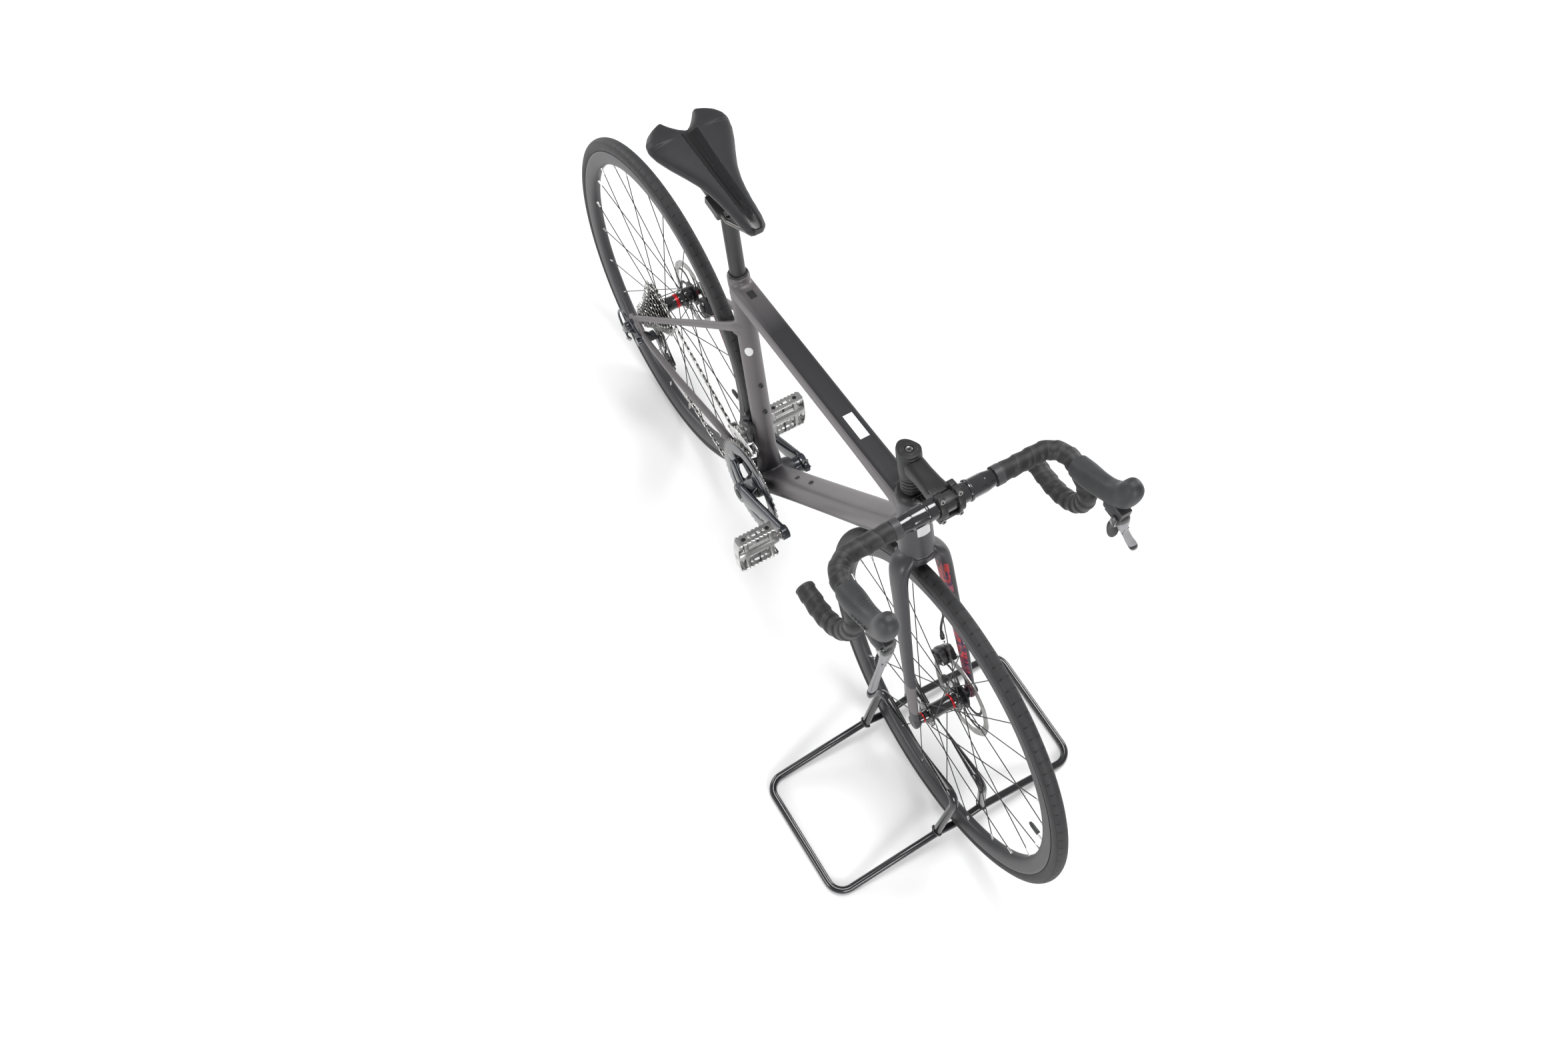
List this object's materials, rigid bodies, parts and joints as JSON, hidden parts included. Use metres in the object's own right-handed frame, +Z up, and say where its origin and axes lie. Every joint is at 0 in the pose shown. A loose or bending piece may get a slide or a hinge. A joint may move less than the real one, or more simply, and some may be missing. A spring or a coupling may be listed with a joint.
{
  "type": "bicycle on stand",
  "caption": "Road bicycle with drop handlebar and disc brakes, front wheel held in a floor stand of bent rod; wheels, crank, steering, levers, seatpost and saddle move.",
  "frame": {"origin": "on the floor, midway between the two wheel axles, in the bicycle's middle plane", "axes": "+X towards the front wheel, +Y to the rider's left, +Z up"},
  "size_m": [1.64, 0.542, 0.9897],
  "materials": {
    "stand_black": "gloss",
    "dark_paint": "satin",
    "frame_paint": "matt",
    "black_alloy": "satin",
    "steel": "satin",
    "bar_tape": "matt",
    "hood_rubber": "matt",
    "black_plastic": "matt",
    "lever_grey": "satin",
    "hose_black": "gloss",
    "tyre": "matt",
    "rim_black": "satin",
    "spoke_black": "satin",
    "crank_grey": "satin",
    "pedal_silver": "satin",
    "saddle_cover": "matt"
  },
  "bodies": {
    "stand": {"stand_base": "stand_black", "stand_hoops": "stand_black"},
    "fork_assembly": {"fork": "dark_paint", "headset_spacers": "black_alloy", "stem": "black_alloy", "stem_face_plate": "black_alloy", "stem_bolts": "steel", "top_cap": "black_alloy", "handlebar": "black_alloy", "bar_tape": "bar_tape", "lever_bodies": "black_plastic", "lever_hoods": "hood_rubber", "control_cables": "hose_black", "front_brake_hose": "hose_black", "front_caliper": "black_alloy", "front_axle": "black_alloy"},
    "brake_lever_left": {"brake_lever_left": "lever_grey"},
    "brake_lever_right": {"brake_lever_right": "lever_grey"},
    "shift_lever_left": {"shift_lever_left": "black_plastic"},
    "shift_lever_right": {"shift_lever_right": "black_plastic"},
    "front_wheel": {"front_tyre": "tyre", "front_rim": "rim_black", "front_spokes": "spoke_black", "front_hub_body": "black_alloy", "front_rotor": "steel"},
    "frame": {"head_tube": "frame_paint", "top_tube": "frame_paint", "down_tube": "frame_paint", "seat_tube": "frame_paint", "chainstays": "frame_paint", "seatstays": "frame_paint", "headset_bearings": "steel", "bottom_bracket": "black_alloy", "bottle_bolts": "black_alloy", "rear_caliper": "black_alloy", "rear_brake_hose": "hose_black", "rear_axle": "black_alloy", "chain": "steel", "front_derailleur": "steel", "rear_derailleur": "crank_grey"},
    "rear_wheel": {"rear_tyre": "tyre", "rear_rim": "rim_black", "rear_spokes": "spoke_black", "rear_hub_body": "black_alloy", "rear_rotor": "steel"},
    "cassette": {"cassette": "steel"},
    "crank": {"crank_right": "crank_grey", "crank_left": "crank_grey", "chainring_large": "crank_grey", "chainring_small": "black_alloy", "pedal_axles": "steel"},
    "pedal_right": {"pedal_right": "pedal_silver"},
    "pedal_left": {"pedal_left": "pedal_silver"},
    "guide_pulley": {"guide_pulley": "black_plastic"},
    "tension_pulley": {"tension_pulley": "black_plastic"},
    "seatpost": {"seatpost": "black_alloy"},
    "saddle": {"saddle_clamp": "black_alloy", "saddle_rails": "steel", "saddle_shell": "black_plastic", "saddle_pad": "saddle_cover"}
  },
  "joints": [
    {"name": "lift_out", "type": "slide", "parent": "stand", "child": "fork_assembly", "axis": [0, 0, 1], "range_m": [0, 0.12]},
    {"name": "steering", "type": "hinge", "parent": "fork_assembly", "child": "frame", "pos_m": [0.43797, 0, 0.33584], "axis": [-0.2924, 0, 0.9563], "range_deg": [-25, 25]},
    {"name": "front_wheel_spin", "type": "hinge", "parent": "fork_assembly", "child": "front_wheel", "pos_m": [0.481, 0, 0.349], "axis": [0, 1, 0], "continuous": true},
    {"name": "rear_wheel_spin", "type": "hinge", "parent": "frame", "child": "rear_wheel", "pos_m": [-0.481, 0, 0.339], "axis": [0, 1, 0], "continuous": true},
    {"name": "crank_spin", "type": "hinge", "parent": "frame", "child": "crank", "pos_m": [-0.084, 0, 0.269], "axis": [0, 1, 0], "continuous": true},
    {"name": "cassette_spin", "type": "hinge", "parent": "frame", "child": "cassette", "pos_m": [-0.481, 0, 0.339], "axis": [0, 1, 0], "continuous": true},
    {"name": "guide_pulley_spin", "type": "hinge", "parent": "frame", "child": "guide_pulley", "pos_m": [-0.479, 0, 0.247], "axis": [0, 1, 0], "continuous": true},
    {"name": "tension_pulley_spin", "type": "hinge", "parent": "frame", "child": "tension_pulley", "pos_m": [-0.439, 0, 0.207], "axis": [0, 1, 0], "continuous": true},
    {"name": "pedal_right_spin", "type": "hinge", "parent": "crank", "child": "pedal_right", "pos_m": [0.06322, 0, 0.354], "axis": [0, 1, 0], "continuous": true},
    {"name": "pedal_left_spin", "type": "hinge", "parent": "crank", "child": "pedal_left", "pos_m": [-0.23122, 0, 0.184], "axis": [0, 1, 0], "continuous": true},
    {"name": "brake_left", "type": "hinge", "parent": "fork_assembly", "child": "brake_lever_left", "pos_m": [0.51105, 0.198, 0.9077], "axis": [0, 1, 0], "range_deg": [0, 20], "stiffness_Nm_per_rad": 2, "springref_deg": -5.73},
    {"name": "brake_right", "type": "hinge", "parent": "fork_assembly", "child": "brake_lever_right", "pos_m": [0.51105, -0.198, 0.9077], "axis": [0, 1, 0], "range_deg": [0, 20], "stiffness_Nm_per_rad": 2, "springref_deg": -5.73},
    {"name": "shift_left", "type": "hinge", "parent": "brake_lever_left", "child": "shift_lever_left", "pos_m": [0.50405, 0.196, 0.8847], "axis": [-1, 0, 0], "range_deg": [0, 12], "stiffness_Nm_per_rad": 0.3, "springref_deg": -5.73},
    {"name": "shift_right", "type": "hinge", "parent": "brake_lever_right", "child": "shift_lever_right", "pos_m": [0.50405, -0.196, 0.8847], "axis": [1, 0, 0], "range_deg": [0, 12], "stiffness_Nm_per_rad": 0.3, "springref_deg": -5.73},
    {"name": "seat_height", "type": "slide", "parent": "frame", "child": "seatpost", "axis": [-0.2756, 0, 0.9613], "range_m": [-0.06, 0.04]},
    {"name": "saddle_tilt", "type": "hinge", "parent": "seatpost", "child": "saddle", "pos_m": [-0.25875, 0, 0.87444], "axis": [0, 1, 0], "range_deg": [-8, 8]}
  ],
  "couplings": [
    {"joint": "cassette_spin", "follows": "crank_spin", "ratio": 1.36},
    {"joint": "guide_pulley_spin", "follows": "crank_spin", "ratio": -3.0909},
    {"joint": "tension_pulley_spin", "follows": "crank_spin", "ratio": 3.0909}
  ]
}
